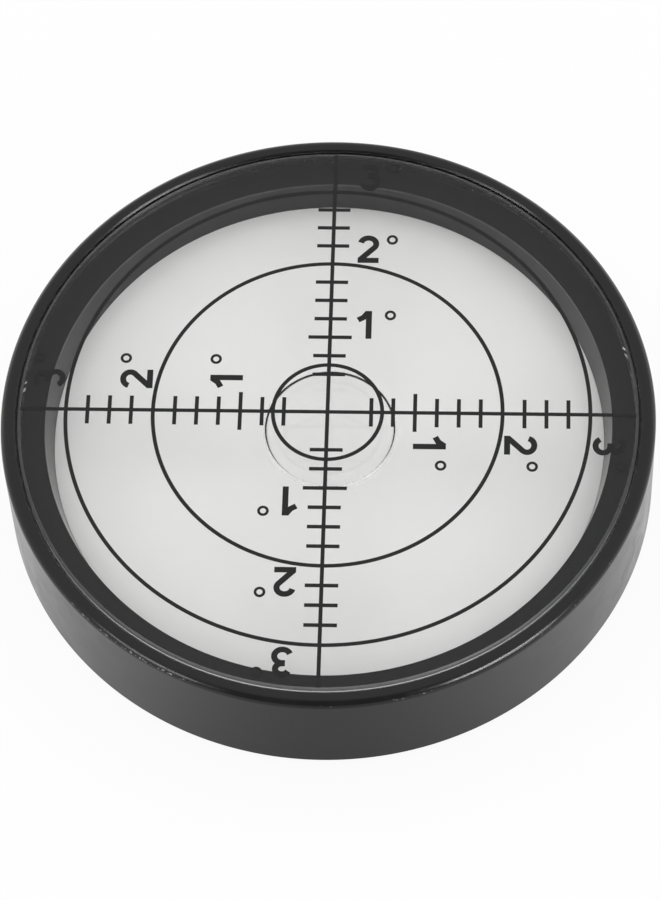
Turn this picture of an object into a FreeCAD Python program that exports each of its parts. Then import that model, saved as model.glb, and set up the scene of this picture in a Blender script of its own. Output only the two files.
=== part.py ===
"""Bullseye level: a circular spirit level in a turned, black anodised body.

A shallow cup is turned from bar. Its tapered bore holds a white backing disc
and the spirit, a flat gasket lies on the ledge above the bore, and a glass
lens with a concave underside is bonded over it. The dial is printed on top of
the lens. The cup is filled through a small screw hole in its base, on the
near side, and a notch in the disc's edge above it.

Frame: millimetres, +Z up, the origin at the centre of the base, +X along one
arm of the dial's cross.
"""
import FreeCAD, Part
import math
import os

import Sketcher

PARTS_FOLDER = "parts"
SHEET = "Dims"
DEGREE_SLOPE = math.tan(math.radians(1.0))

# Driving sizes, in millimetres.
SIZES = {
    # Turned body
    "body_diameter": 60.0,
    "body_height": 12.0,
    "rim_width": 1.4,
    "ledge_width": 2.55,
    "bore_taper": 0.75,
    "base_thickness": 3.6,
    "rim_chamfer": 0.5,
    "base_chamfer": 1.0,
    # Glass lens and what holds it
    "lens_thickness": 3.0,
    "lens_bevel": 0.25,
    "lens_drop": 0.1,
    "bond_gap": 0.15,
    "bond_drop": 0.4,
    "gasket_thickness": 0.5,
    # White disc under the spirit
    "backing_thickness": 0.8,
    "fill_notch_width": 2.0,
    "fill_notch_depth": 1.0,
    # Dial print
    "dial_margin": 4.2,
    "centre_ring_diameter": 10.0,
    "tick_length": 3.0,
    "degree_tick_length": 4.0,
    "line_width": 0.36,
    "ink_thickness": 0.03,
    # Bubble
    "bubble_diameter": 12.4,
    "bubble_upper_radius": 2.2,
    "bubble_lower_radius": 2.2,
    "bubble_press": 1.0,
    # Filling screw in the base
    "screw_diameter": 3.0,
    "screw_side_gap": 0.05,
    "screw_wall_gap": 0.2,
    "screw_tip_gap": 0.2,
    "screw_head_diameter": 5.5,
    "screw_head_height": 1.0,
    "screw_head_bevel": 0.2,
    "screw_sink": 0.3,
    "slot_width": 0.8,
    "slot_depth": 0.5,
    "washer_overhang": 0.1,
    "washer_thickness": 0.4,
    "head_pocket_gap": 0.25,
}

# The dial reads to three degrees of tilt, with four divisions to a degree.
DEGREES_READ = 3
DIVISIONS_PER_DEGREE = 4
FIRST_TICK = 2
DIAL_ARMS = 4

# Turns a sketch's first axis to -Y, where the filling screw is.
NEAR_SIDE = -90.0


class Size:
    """A length that knows its value and the expression that gives it."""

    def __init__(self, text, value):
        self.text = text
        self.value = value

    def joined(self, sign, other, value):
        right = other.text if isinstance(other, Size) else repr(other)
        return Size("(%s %s %s)" % (self.text, sign, right), value)

    def __add__(self, other):
        return self.joined("+", other, self.value + plain(other))

    def __sub__(self, other):
        return self.joined("-", other, self.value - plain(other))

    def __mul__(self, other):
        return self.joined("*", other, self.value * plain(other))

    def __truediv__(self, other):
        return self.joined("/", other, self.value / plain(other))


def plain(length):
    """Return the number behind a Size, or the number itself."""
    return length.value if isinstance(length, Size) else length


def square_root(area):
    """Return the length whose square is given."""
    return Size("sqrt(%s)" % area.text, math.sqrt(area.value))


def fill_sheet(document):
    """Write the driving sizes into the sheet and return them by name."""
    sheet = document.addObject("Spreadsheet::Sheet", SHEET)
    lengths = {}
    for row, (alias, value) in enumerate(SIZES.items(), start=1):
        cell = "A%d" % row
        sheet.set(cell, str(value))
        sheet.setAlias(cell, alias)
        lengths[alias] = Size("%s.%s" % (SHEET, alias), value)
    document.recompute()
    return lengths


def bind(item, path, length):
    """Drive one property of an object by a length."""
    item.setExpression(path, length.text)


def new_body(document, label):
    """Start the body of one sub-part."""
    body = document.addObject("PartDesign::Body", label)
    body.Label = label
    return body


def origin_plane(body, role):
    """Return one of the body's own origin planes."""
    for feature in body.Origin.OriginFeatures:
        if feature.Role == role:
            return feature
    raise ValueError("no plane %s in %s" % (role, body.Label))


def new_sketch(body, name, role, height=None, turned=0.0):
    """Attach a sketch to an origin plane, lifted along its normal if asked.

    turned swings the sketch's axes anticlockwise by that many degrees.
    """
    sketch = body.newObject("Sketcher::SketchObject", name)
    sketch.AttachmentSupport = [(origin_plane(body, role), "")]
    sketch.MapMode = "FlatFace"
    if turned:
        swing = FreeCAD.Rotation(FreeCAD.Vector(0, 0, 1), turned)
        sketch.AttachmentOffset = FreeCAD.Placement(FreeCAD.Vector(0, 0, 0), swing)
    if height is not None:
        bind(sketch, "AttachmentOffset.Base.z", height)
    return sketch


def pin_point(sketch, geometry, end, across, up):
    """Hold one end of an edge at a place given by two lengths.

    A place of 0 lies on the sketch's axis, and None leaves it free.
    """
    for kind, axis, length in (("DistanceX", -2, across), ("DistanceY", -1, up)):
        if length is None:
            continue
        if isinstance(length, Size):
            rule = Sketcher.Constraint(kind, -1, 1, geometry, end, length.value)
            index = sketch.addConstraint(rule)
            bind(sketch, "Constraints[%d]" % index, length)
        else:
            sketch.addConstraint(Sketcher.Constraint("PointOnObject", geometry, end, axis))


def draw_outline(sketch, corners, arcs=None):
    """Draw a closed outline through its corners, each (across, up).

    arcs gives the radius of each round stretch by the number of the corner
    that it starts from. Every arc turns anticlockwise.
    """
    arcs = arcs or {}
    places = [FreeCAD.Vector(plain(across), plain(up), 0) for across, up in corners]
    count = len(corners)
    for number in range(count):
        first = places[number]
        last = places[(number + 1) % count]
        if number in arcs:
            edge = arc_between(first, last, arcs[number].value)
        else:
            edge = Part.LineSegment(first, last)
        sketch.addGeometry(edge, False)
    for number in range(count):
        following = (number + 1) % count
        sketch.addConstraint(Sketcher.Constraint("Coincident", number, 2, following, 1))
    for number, radius in arcs.items():
        index = sketch.addConstraint(Sketcher.Constraint("Radius", number, radius.value))
        bind(sketch, "Constraints[%d]" % index, radius)
    for number, (across, up) in enumerate(corners):
        pin_point(sketch, number, 1, across, up)


def arc_between(first, last, radius):
    """Return the short anticlockwise arc of a given radius between two points."""
    chord = last - first
    half = chord.Length / 2
    rise = math.sqrt(max(radius * radius - half * half, 0.0))
    side = FreeCAD.Vector(-chord.y, chord.x, 0).normalize() * rise
    centre = (first + last) / 2 + side
    start = math.atan2(first.y - centre.y, first.x - centre.x)
    stop = math.atan2(last.y - centre.y, last.x - centre.x)
    if stop < start:
        stop += 2 * math.pi
    circle = Part.Circle(centre, FreeCAD.Vector(0, 0, 1), radius)
    return Part.ArcOfCircle(circle, start, stop)


def spin(body, kind, name, corners, arcs=None):
    """Spin a half outline, radius across and height up, about the Z axis."""
    sketch = new_sketch(body, name + "_profile", "XZ_Plane")
    draw_outline(sketch, corners, arcs)
    feature = body.newObject(kind, name)
    feature.Profile = sketch
    feature.ReferenceAxis = (sketch, ["V_Axis"])
    feature.Angle = 360.0
    body.Tip = feature
    return feature


def turn(body, corners):
    """Turn a piece to a half outline."""
    return spin(body, "PartDesign::Revolution", body.Label + "_turned", corners)


def combine(body, kind, tool, name):
    """Cut a body by a tool, or keep what the two share."""
    step = body.newObject("PartDesign::Boolean", name)
    step.Type = kind
    step.setObjects([tool])
    body.Tip = step
    return step


def circle_in(sketch, across, up, radius):
    """Draw a circle whose centre and radius are lengths."""
    centre = FreeCAD.Vector(plain(across), plain(up), 0)
    shape = Part.Circle(centre, FreeCAD.Vector(0, 0, 1), radius.value)
    number = sketch.addGeometry(shape, False)
    pin_point(sketch, number, 3, across, up)
    index = sketch.addConstraint(Sketcher.Constraint("Radius", number, radius.value))
    bind(sketch, "Constraints[%d]" % index, radius)


def bar_in(sketch, left, right, length_up):
    """Draw a rectangle that straddles the sketch's horizontal axis.

    left of 0 puts its end on the vertical axis, and left of None makes it
    straddle that axis too, with right as half its length.
    """
    half = length_up / 2
    near = -right.value if left is None else plain(left)
    first = sketch.GeometryCount
    places = ((near, -1), (right.value, -1), (right.value, 1), (near, 1))
    points = [FreeCAD.Vector(x, side * half.value, 0) for x, side in places]
    for number in range(4):
        sketch.addGeometry(Part.LineSegment(points[number], points[(number + 1) % 4]), False)
    for number in range(4):
        following = first + (number + 1) % 4
        sketch.addConstraint(Sketcher.Constraint("Coincident", first + number, 2, following, 1))
    low_edge = first
    right_edge = first + 1
    left_edge = first + 3
    for edge in (right_edge, left_edge):
        sketch.addConstraint(Sketcher.Constraint("Symmetric", edge, 1, edge, 2, -1))
    rule = Sketcher.Constraint("DistanceY", right_edge, 1, right_edge, 2, length_up.value)
    bind(sketch, "Constraints[%d]" % sketch.addConstraint(rule), length_up)
    pin_point(sketch, right_edge, 1, right, None)
    if left is None:
        sketch.addConstraint(Sketcher.Constraint("Symmetric", low_edge, 1, low_edge, 2, -2))
    else:
        sketch.addConstraint(Sketcher.Constraint("Horizontal", low_edge))
        pin_point(sketch, left_edge, 2, left, None)


def pad(body, sketch, thickness):
    """Raise a sketch into a pad of the given thickness."""
    raised = body.newObject("PartDesign::Pad", sketch.Name + "_pad")
    raised.Profile = sketch
    bind(raised, "Length", thickness)
    body.Tip = raised
    return raised


def pocket_up(body, sketch, depth):
    """Cut a sketch into the solid above it."""
    cut = body.newObject("PartDesign::Pocket", sketch.Name + "_cut")
    cut.Profile = sketch
    cut.Reversed = True
    bind(cut, "Length", depth)
    body.Tip = cut
    return cut


class LevelSizes:
    """Every derived place and radius, worked out from the driving sizes."""

    def __init__(self, lengths):
        self.given = lengths
        get = lengths.__getitem__
        self.outer_radius = get("body_diameter") / 2
        self.recess_radius = self.outer_radius - get("rim_width")
        self.bore_radius = self.recess_radius - get("ledge_width")
        self.bore_foot_radius = self.bore_radius - get("bore_taper")
        self.lens_radius = self.recess_radius - get("bond_gap")
        # Heights, from the top of the lens down to the floor of the bore
        self.lens_top = get("body_height") - get("lens_drop")
        self.lens_seat = self.lens_top - get("lens_thickness")
        self.ledge_height = self.lens_seat - get("gasket_thickness")
        self.bond_top = self.lens_top - get("bond_drop")
        self.floor_height = get("base_thickness") + get("backing_thickness")
        # The disc is wedged in the foot of the taper, and its edge has the same taper
        bore_depth = self.ledge_height - get("base_thickness")
        edge_spread = get("bore_taper") * get("backing_thickness") / bore_depth
        self.backing_radius = self.bore_foot_radius + edge_spread
        # The dial fills the flat top of the lens, less a margin
        self.arm_reach = self.lens_radius - get("lens_bevel")
        self.degree_pitch = (self.arm_reach - get("dial_margin")) / DEGREES_READ
        self.division = self.degree_pitch / DIVISIONS_PER_DEGREE
        # One degree of tilt moves the bubble by one degree pitch
        self.curve_radius = self.degree_pitch / DEGREE_SLOPE
        ball_square = self.curve_radius * self.curve_radius
        bore_square = self.bore_radius * self.bore_radius
        hollow_rise = self.curve_radius - square_root(ball_square - bore_square)
        self.hollow_top = self.lens_seat + hollow_rise
        # Filling screw
        self.screw_hole_radius = get("screw_diameter") / 2
        self.screw_radius = self.screw_hole_radius - get("screw_side_gap")
        hole_to_wall = self.screw_hole_radius + get("screw_wall_gap")
        self.screw_offset = self.bore_foot_radius - hole_to_wall
        self.head_radius = get("screw_head_diameter") / 2
        self.washer_radius = self.head_radius + get("washer_overhang")
        self.pocket_radius = self.washer_radius + get("head_pocket_gap")
        self.washer_seat = get("screw_sink") + get("screw_head_height") + get("washer_thickness")


def build_housing(document, level):
    """Turn the body and drill the stepped filling hole."""
    get = level.given.__getitem__
    body = new_body(document, "housing")
    turn(body, [
        (0, 0),
        (level.outer_radius - get("base_chamfer"), 0),
        (level.outer_radius, get("base_chamfer")),
        (level.outer_radius, get("body_height") - get("rim_chamfer")),
        (level.outer_radius - get("rim_chamfer"), get("body_height")),
        (level.recess_radius, get("body_height")),
        (level.recess_radius, level.ledge_height),
        (level.bore_radius, level.ledge_height),
        (level.bore_foot_radius, get("base_thickness")),
        (0, get("base_thickness")),
    ])
    head_pocket = new_sketch(body, "head_pocket", "XY_Plane", turned=NEAR_SIDE)
    circle_in(head_pocket, level.screw_offset, 0, level.pocket_radius)
    pocket_up(body, head_pocket, level.washer_seat)
    screw_hole = new_sketch(body, "screw_hole", "XY_Plane", turned=NEAR_SIDE)
    circle_in(screw_hole, level.screw_offset, 0, level.screw_hole_radius)
    pocket_up(body, screw_hole, get("base_thickness"))
    return body


def curve_ball(document, level, name):
    """Return the large ball that the hollow of the lens is ground to.

    Its poles lie on the X axis, clear of the glass.
    """
    body = new_body(document, name)
    ball = body.newObject("PartDesign::AdditiveSphere", name + "_sphere")
    quarter_turn = FreeCAD.Rotation(FreeCAD.Vector(0, 1, 0), 90)
    ball.Placement = FreeCAD.Placement(FreeCAD.Vector(0, 0, 0), quarter_turn)
    bind(ball, "Radius", level.curve_radius)
    bind(ball, "Placement.Base.z", level.hollow_top - level.curve_radius)
    body.Tip = ball
    return body


def build_lens(document, level):
    """Turn the flat glass blank, bevel its edges and grind its hollow."""
    get = level.given.__getitem__
    body = new_body(document, "lens")
    bevel = get("lens_bevel")
    turn(body, [
        (0, level.lens_seat),
        (level.lens_radius - bevel, level.lens_seat),
        (level.lens_radius, level.lens_seat + bevel),
        (level.lens_radius, level.lens_top - bevel),
        (level.lens_radius - bevel, level.lens_top),
        (0, level.lens_top),
    ])
    combine(body, "Cut", curve_ball(document, level, "lens_curve"), "lens_hollow")
    return body


def build_gasket(document, level):
    """Cut the flat gasket that lies on the ledge under the lens."""
    body = new_body(document, "lens_gasket")
    turn(body, [
        (level.bore_radius, level.ledge_height),
        (level.recess_radius, level.ledge_height),
        (level.recess_radius, level.lens_seat),
        (level.bore_radius, level.lens_seat),
    ])
    return body


def build_bond(document, level):
    """Fill the gap round the lens with the ring of resin that holds it."""
    body = new_body(document, "lens_bond")
    turn(body, [
        (level.lens_radius, level.lens_seat),
        (level.recess_radius, level.lens_seat),
        (level.recess_radius, level.bond_top),
        (level.lens_radius, level.bond_top),
    ])
    return body


def notched_disc(document, level, label):
    """Cut the disc that lies on the floor, with a notch over the screw hole."""
    get = level.given.__getitem__
    body = new_body(document, label)
    turn(body, [
        (0, get("base_thickness")),
        (level.bore_foot_radius, get("base_thickness")),
        (level.backing_radius, level.floor_height),
        (0, level.floor_height),
    ])
    notch = new_sketch(body, label + "_notch", "XY_Plane", turned=NEAR_SIDE)
    notch_end = level.bore_foot_radius - get("fill_notch_depth")
    past_edge = level.backing_radius + get("fill_notch_depth")
    bar_in(notch, notch_end, past_edge, get("fill_notch_width"))
    pocket_up(body, notch, level.floor_height)
    return body


def build_backing(document, level):
    """Make the white disc under the spirit."""
    return notched_disc(document, level, "backing_disc")


def build_spirit(document, level):
    """Fill the space between bore and lens, less the disc and the bubble.

    The spirit's own weight flattens the bubble: it lies along the lens, is
    flat below and has round sides, widest a little way under the glass.
    """
    get = level.given.__getitem__
    body = new_body(document, "spirit")
    turn(body, [
        (0, get("base_thickness")),
        (level.bore_foot_radius, get("base_thickness")),
        (level.bore_radius, level.ledge_height),
        (level.bore_radius, level.lens_top),
        (0, level.lens_top),
    ])
    combine(body, "Common", curve_ball(document, level, "spirit_curve"), "spirit_under_lens")
    combine(body, "Cut", notched_disc(document, level, "disc_space"), "spirit_over_disc")
    upper = get("bubble_upper_radius")
    lower = get("bubble_lower_radius")
    radius = get("bubble_diameter") / 2
    top = level.hollow_top + get("bubble_press")
    widest = top - upper
    spin(body, "PartDesign::Groove", "bubble", [
        (0, widest - lower),
        (radius - lower, widest - lower),
        (radius, widest),
        (radius - upper, top),
        (0, top),
    ], {1: lower, 2: upper})
    return body


def build_dial(document, level):
    """Print the rings, the cross and its ticks on top of the lens."""
    get = level.given.__getitem__
    body = new_body(document, "dial_print")
    width = get("line_width")
    ink = get("ink_thickness")
    ring_radii = {
        "centre_ring": get("centre_ring_diameter") / 2,
        "two_degree_ring": level.degree_pitch * 2,
        "three_degree_ring": level.degree_pitch * DEGREES_READ,
    }
    cross = new_sketch(body, "cross_arm", "XY_Plane", level.lens_top)
    bar_in(cross, 0, level.arm_reach, width)
    arm = pad(body, cross, ink)
    repeat_round(body, [arm], "cross_arms")
    for name, radius in ring_radii.items():
        ring = new_sketch(body, name, "XY_Plane", level.lens_top)
        circle_in(ring, 0, 0, radius - width / 2)
        circle_in(ring, 0, 0, radius + width / 2)
        pad(body, ring, ink)
    ticks = new_sketch(body, "arm_ticks", "XY_Plane", level.lens_top)
    for number in range(FIRST_TICK, DIVISIONS_PER_DEGREE * DEGREES_READ):
        place = level.division * number
        if number == DIVISIONS_PER_DEGREE:
            bar_in(ticks, place - width / 2, place + width / 2, get("degree_tick_length"))
        elif number % DIVISIONS_PER_DEGREE:
            bar_in(ticks, place - width / 2, place + width / 2, get("tick_length"))
    tick_pad = pad(body, ticks, ink)
    repeat_round(body, [tick_pad], "dial_ticks")
    return body


def repeat_round(body, features, name):
    """Repeat features on each arm of the dial."""
    pattern = body.newObject("PartDesign::PolarPattern", name)
    pattern.Originals = features
    pattern.Axis = (z_axis(body), [""])
    pattern.Angle = 360.0
    pattern.Occurrences = DIAL_ARMS
    body.Tip = pattern
    return pattern


def z_axis(body):
    """Return the body's own Z axis."""
    return origin_plane(body, "Z_Axis")


def build_screw(document, level):
    """Turn the slotted filling screw, head down, and cut its slot."""
    get = level.given.__getitem__
    body = new_body(document, "fill_screw")
    bevel = get("screw_head_bevel")
    head = get("screw_head_height")
    tip = get("base_thickness") - get("screw_sink") - get("screw_tip_gap")
    turn(body, [
        (0, 0),
        (level.head_radius - bevel, 0),
        (level.head_radius, bevel),
        (level.head_radius, head),
        (level.screw_radius, head),
        (level.screw_radius, tip - bevel),
        (level.screw_radius - bevel, tip),
        (0, tip),
    ])
    slot = new_sketch(body, "slot", "XY_Plane")
    slot_reach = level.head_radius + get("slot_width")
    bar_in(slot, None, slot_reach, get("slot_width"))
    pocket_up(body, slot, get("slot_depth"))
    bind(body, "Placement.Base.y", level.screw_offset * -1)
    bind(body, "Placement.Base.z", get("screw_sink"))
    return body


def build_washer(document, level):
    """Punch the sealing washer under the screw's head."""
    get = level.given.__getitem__
    body = new_body(document, "fill_washer")
    turn(body, [
        (level.screw_hole_radius, 0),
        (level.washer_radius, 0),
        (level.washer_radius, get("washer_thickness")),
        (level.screw_hole_radius, get("washer_thickness")),
    ])
    bind(body, "Placement.Base.y", level.screw_offset * -1)
    bind(body, "Placement.Base.z", get("screw_sink") + get("screw_head_height"))
    return body


BUILDERS = (
    build_housing,
    build_backing,
    build_spirit,
    build_gasket,
    build_lens,
    build_bond,
    build_dial,
    build_screw,
    build_washer,
)


def check_document(document, bodies):
    """Stop if any object failed or any sub-part has no sound solid."""
    for item in document.Objects:
        if "Invalid" in item.State or "Error" in item.State:
            raise RuntimeError("%s is %s" % (item.Label, item.State))
    for body in bodies:
        shape = body.Shape
        if shape.isNull() or not shape.isValid() or len(shape.Solids) != 1:
            raise RuntimeError("%s is not one sound solid" % body.Label)


def main():
    document = FreeCAD.newDocument("bullseye_level")
    level = LevelSizes(fill_sheet(document))
    bodies = [build(document, level) for build in BUILDERS]
    document.recompute()
    check_document(document, bodies)
    os.makedirs(PARTS_FOLDER, exist_ok=True)
    for body in bodies:
        body.Shape.exportStep(os.path.join(PARTS_FOLDER, body.Label + ".step"))
        print("%-14s volume %10.3f mm3" % (body.Label, body.Shape.Volume))


main()
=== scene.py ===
"""Bullseye level in its black anodised body, dressed for a studio photograph.

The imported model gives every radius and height. Each round piece is worked out
again here as a fine surface with its real small edge rounds, and the dial gets
its numbers. Lengths in the classes are in millimetres and angles in degrees,
unless a comment says otherwise. The meshes are in metres, in the frame of the
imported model: +Z up through the lens, +X along one arm of the dial's cross, and
the origin at the centre of the base.
"""

from __future__ import annotations

import logging
import math
from dataclasses import dataclass, field
from enum import Enum, IntEnum
from typing import Mapping, Sequence

import bpy
import numpy as np
from mathutils import Matrix, Vector

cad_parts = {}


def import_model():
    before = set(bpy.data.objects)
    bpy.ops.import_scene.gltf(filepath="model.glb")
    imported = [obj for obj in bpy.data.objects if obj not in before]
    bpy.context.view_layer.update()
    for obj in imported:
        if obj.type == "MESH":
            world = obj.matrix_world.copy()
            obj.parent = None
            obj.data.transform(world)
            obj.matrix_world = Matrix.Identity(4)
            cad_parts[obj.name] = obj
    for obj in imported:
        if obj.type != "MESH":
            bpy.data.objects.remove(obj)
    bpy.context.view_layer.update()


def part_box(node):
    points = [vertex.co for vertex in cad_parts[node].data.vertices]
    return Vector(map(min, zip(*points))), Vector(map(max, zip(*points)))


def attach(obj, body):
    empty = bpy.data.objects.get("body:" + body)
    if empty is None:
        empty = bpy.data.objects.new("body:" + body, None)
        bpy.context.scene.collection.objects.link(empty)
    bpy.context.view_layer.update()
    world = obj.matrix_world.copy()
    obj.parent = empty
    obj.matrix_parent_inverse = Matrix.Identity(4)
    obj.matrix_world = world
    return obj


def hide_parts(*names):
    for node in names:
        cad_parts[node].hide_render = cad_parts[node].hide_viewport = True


log = logging.getLogger("bullseye_level")

MM = 0.001
# Columns round what is as wide as the body, and round what is as wide as the screw
SEGMENTS = 384
SMALL_SEGMENTS = 96
GLASS_IOR = 1.52
SPIRIT_IOR = 1.38


class Slot(Enum):
    """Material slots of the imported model."""

    HOUSING = "anodised_aluminium"
    DISC = "white_plastic"
    SPIRIT = "spirit"
    GASKET = "nitrile_rubber"
    LENS = "optical_glass"
    BOND = "black_resin"
    PRINT = "dial_ink"
    SCREW = "plated_steel"
    WASHER = "nylon"


# ---------------------------------------------------------------- surfaces


@dataclass(frozen=True)
class Corner:
    """One corner of a profile and the radius of its edge round, in millimetres."""

    across: float
    up: float
    edge: float = 0.0


def rounded_profile(corners: Sequence[Corner], chord: float = 0.07, lead: float = 0.04,
                    fewest: int = 4) -> np.ndarray:
    """Round the corners of a profile.

    At a corner P between unit directions u and v, with the angle w between
    them, the arc of radius e touches both sides at e / tan(w / 2) from P. Its
    centre lies on the bisector at e / sin(w / 2), and its points turn evenly
    from one touching point to the other. One more point stands a little way
    out on each side, so that smooth shading keeps the flats flat.

    Args:
        corners: the profile's corners in order.
        chord: largest distance between two points of an arc, in millimetres.
        lead: distance of the outer points from the arc, in millimetres.
        fewest: points that even a small arc gets.

    Returns:
        Points (across, up), one row each.
    """
    places = np.array([(c.across, c.up) for c in corners])
    rows: list[np.ndarray] = []
    for index, corner in enumerate(corners):
        place = places[index]
        if corner.edge <= 0 or index in (0, len(corners) - 1):
            rows.append(place[None, :])
            continue
        to_last = places[index - 1] - place
        to_next = places[index + 1] - place
        to_last /= np.linalg.norm(to_last)
        to_next /= np.linalg.norm(to_next)
        half = math.acos(float(np.clip(to_last @ to_next, -1, 1))) / 2
        reach = corner.edge / math.tan(half)
        bisector = (to_last + to_next) / np.linalg.norm(to_last + to_next)
        centre = place + bisector * corner.edge / math.sin(half)
        start = place + to_last * reach - centre
        stop = place + to_next * reach - centre
        turn = math.pi - 2 * half
        steps = max(fewest, 1 + math.ceil(turn * corner.edge / chord))
        share = np.linspace(0, 1, steps)[:, None]
        arc = np.sin((1 - share) * turn) * start + np.sin(share * turn) * stop
        rows.append((place + to_last * (reach + lead))[None, :])
        rows.append(centre + arc / math.sin(turn))
        rows.append((place + to_next * (reach + lead))[None, :])
    return np.concatenate(rows)


def lathe_rows(profile: np.ndarray, segments: int = SEGMENTS,
               middles: np.ndarray | None = None) -> np.ndarray:
    """Carry a profile once round an upright axis.

    Point (i, j) = (x_i + r_i cos a_j, y_i + r_i sin a_j, z_i) with
    a_j = 2 pi j / segments, where (x_i, y_i) is the middle of row i.

    Args:
        profile: points (r, z), one row each.
        segments: columns of the surface.
        middles: the middle (x, y) of each row, or None for the Z axis.

    Returns:
        Points of shape (rows, segments, 3).
    """
    angle = 2 * math.pi * np.arange(segments) / segments
    radius, height = profile[:, 0:1], profile[:, 1:2]
    rows = np.stack(
        [radius * np.cos(angle), radius * np.sin(angle), height + 0 * angle], axis=-1
    )
    if middles is not None:
        rows[:, :, :2] += middles[:, None, :]
    return rows


def grid_faces(rows: int, columns: int, wrap_rows: bool = False) -> np.ndarray:
    """Return the four corners of every face of a grid whose columns close.

    Face (i, j) joins points (i, j), (i, j + 1), (i + 1, j + 1), (i + 1, j),
    with j + 1 taken round the column count and i + 1 round the row count where
    the rows close too.

    Args:
        rows: of points.
        columns: of points.
        wrap_rows: True where the last row joins the first.

    Returns:
        Point numbers, four to a face, in the order of the rows.
    """
    last = rows if wrap_rows else rows - 1
    i, j = np.meshgrid(np.arange(last), np.arange(columns), indexing="ij")
    below, beside = (i + 1) % rows, (j + 1) % columns
    corners = [i * columns + j, i * columns + beside,
               below * columns + beside, below * columns + j]
    return np.stack(corners, axis=-1).reshape(-1, 4)


@dataclass
class Shell:
    """A closed surface being gathered: points, faces and their finish numbers."""

    points: list[np.ndarray] = field(default_factory=list)
    faces: list[np.ndarray] = field(default_factory=list)
    finishes: list[np.ndarray] = field(default_factory=list)
    count: int = 0

    def add(self, points: np.ndarray, blocks: Sequence[np.ndarray],
            finishes: Sequence[int | np.ndarray] | None = None) -> None:
        """Append a surface whose faces number its own points from nought.

        Args:
            points: of any shape whose last axis is (x, y, z).
            blocks: faces, one array for each count of corners.
            finishes: a finish number for each block, or an array with one for
                each of its faces, or None for 0.
        """
        self.points.append(points.reshape(-1, 3))
        for block, finish in zip(blocks, finishes or [0] * len(blocks)):
            self.faces.append(block + self.count)
            self.finishes.append(np.broadcast_to(finish, len(block)))
        self.count += len(self.points[-1])

    def piece(self, name: str) -> bpy.types.Object:
        """Turn the gathered surface, in millimetres, into an object in metres.

        Args:
            name: of the object and its mesh.

        Returns:
            The object, in the scene, with smooth faces.
        """
        points = np.concatenate(self.points) * MM
        corners = np.concatenate([block.ravel() for block in self.faces])
        sides = np.concatenate([np.full(*block.shape) for block in self.faces])
        mesh = bpy.data.meshes.new(name)
        mesh.vertices.add(len(points))
        mesh.vertices.foreach_set("co", points.astype(np.float32).ravel())
        mesh.loops.add(len(corners))
        mesh.loops.foreach_set("vertex_index", corners.astype(np.int32))
        mesh.polygons.add(len(sides))
        starts = np.concatenate([[0], np.cumsum(sides)[:-1]])
        mesh.polygons.foreach_set("loop_start", starts.astype(np.int32))
        finishes = np.concatenate(self.finishes)
        mesh.polygons.foreach_set("material_index", finishes.astype(np.int32))
        mesh.polygons.foreach_set("use_smooth", np.ones(len(sides), dtype=bool))
        mesh.update(calc_edges=True)
        mesh.validate()
        piece = bpy.data.objects.new(name, mesh)
        bpy.context.scene.collection.objects.link(piece)
        return piece


def add_rows(shell: Shell, rows: np.ndarray, ends: np.ndarray | None = None,
             finishes: Sequence[int] | None = None) -> None:
    """Add a closed surface of closed rows, each joined to the next.

    With two end points it closes at each with a fan of triangles. Without
    them it is a ring, and its last row joins its first.

    Args:
        shell: where the surface goes.
        rows: points of shape (rows, columns, 3), with the material on the
            left of the rows' direction.
        ends: the points inside the first and the last row, or None.
        finishes: the finish number of each stretch in order, from end to end
            or from the first row, or None for 0.
    """
    count, columns = rows.shape[:2]
    faces = grid_faces(count, columns, wrap_rows=ends is None)
    stretches = count if ends is None else count + 1
    numbers = np.zeros(stretches, int) if finishes is None else np.asarray(finishes)
    if ends is None:
        shell.add(rows, [faces], [np.repeat(numbers, columns)])
        return
    j = np.arange(columns)
    beside = (j + 1) % columns
    final = (count - 1) * columns
    first_end = np.full(columns, count * columns)
    first_fan = np.stack([first_end, beside, j], axis=-1)
    last_fan = np.stack([first_end + 1, final + j, final + beside], axis=-1)
    shell.add(np.concatenate([rows.reshape(-1, 3), ends]), [faces, first_fan, last_fan],
              [np.repeat(numbers[1:-1], columns), numbers[0], numbers[-1]])


def add_lathe(shell: Shell, profile: np.ndarray, finishes: Sequence[int] | None = None,
              segments: int = SEGMENTS, middle: tuple[float, float] = (0.0, 0.0)) -> None:
    """Add a turned surface that closes on itself.

    Args:
        shell: where the surface goes.
        profile: points (r, z), with the material on the left of its
            direction. One that starts and ends on the axis closes there.
        finishes: the finish number of each stretch between points, or None.
        segments: columns round the axis.
        middle: (x, y) of the axis.
    """
    on_axis = profile[0, 0] == profile[-1, 0] == 0
    inner = profile[1:-1] if on_axis else profile
    rows = lathe_rows(inner, segments, np.tile(middle, (len(inner), 1)))
    ends = np.array([[*middle, height] for height in profile[[0, -1], 1]])
    add_rows(shell, rows, ends if on_axis else None, finishes)


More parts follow.
